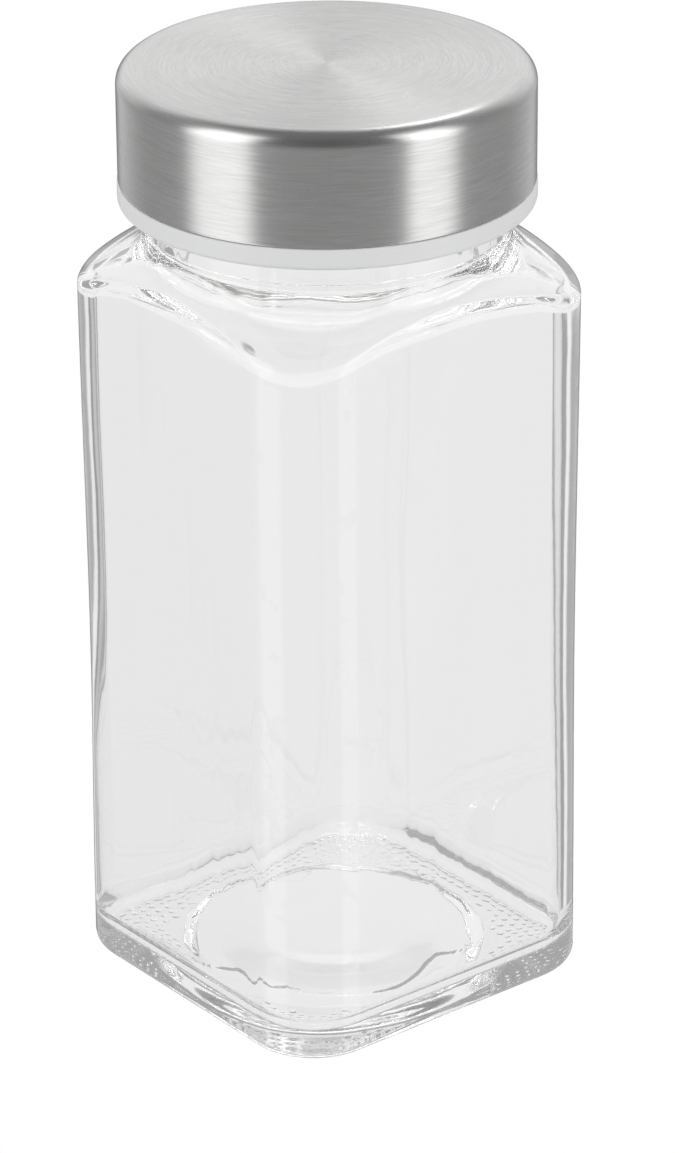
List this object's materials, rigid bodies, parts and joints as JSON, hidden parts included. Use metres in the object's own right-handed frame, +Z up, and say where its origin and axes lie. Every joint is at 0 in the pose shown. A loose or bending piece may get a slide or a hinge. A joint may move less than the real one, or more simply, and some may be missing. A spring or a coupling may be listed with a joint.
{
  "type": "salt shaker",
  "caption": "Square clear glass shaker jar with rounded corners and a round neck, closed by a brushed steel screw cap over a threaded plastic cap, with a pierced sifter in its mouth.",
  "frame": {"origin": "middle of the jar's base, on the surface that it stands on", "axes": "+Z up through the mouth, on the axis of the neck, thread and cap; X and Y square to the jar's flat sides"},
  "size_m": [0.0466, 0.0466, 0.11],
  "materials": {
    "glass": "clear pressed flint glass, smooth, with small dots under the corners of the base",
    "sifter_plastic": "white moulded polypropylene",
    "seal_foam": "white closed-cell polyethylene foam",
    "cap_plastic": "milky translucent polypropylene",
    "cap_steel": "stainless steel, brushed in circles on top and round the side"
  },
  "bodies": {
    "bottle": {"glass_bottle": "glass", "shaker_insert": "sifter_plastic"},
    "seal": {"seal_disc": "seal_foam"},
    "cap": {"inner_cap": "cap_plastic", "steel_cap": "cap_steel"}
  },
  "joints": [
    {"name": "cap_lift", "type": "slide", "parent": "bottle", "child": "seal", "axis": [0, 0, 1], "range_m": [0, 0.0147]},
    {"name": "cap_turn", "type": "hinge", "parent": "seal", "child": "cap", "pos_m": [0, 0, 0.1], "axis": [0, 0, 1], "range_deg": [0, 1260]}
  ],
  "couplings": [
    {"joint": "cap_lift", "follows": "cap_turn", "m_per_rad": 0.00066845}
  ]
}
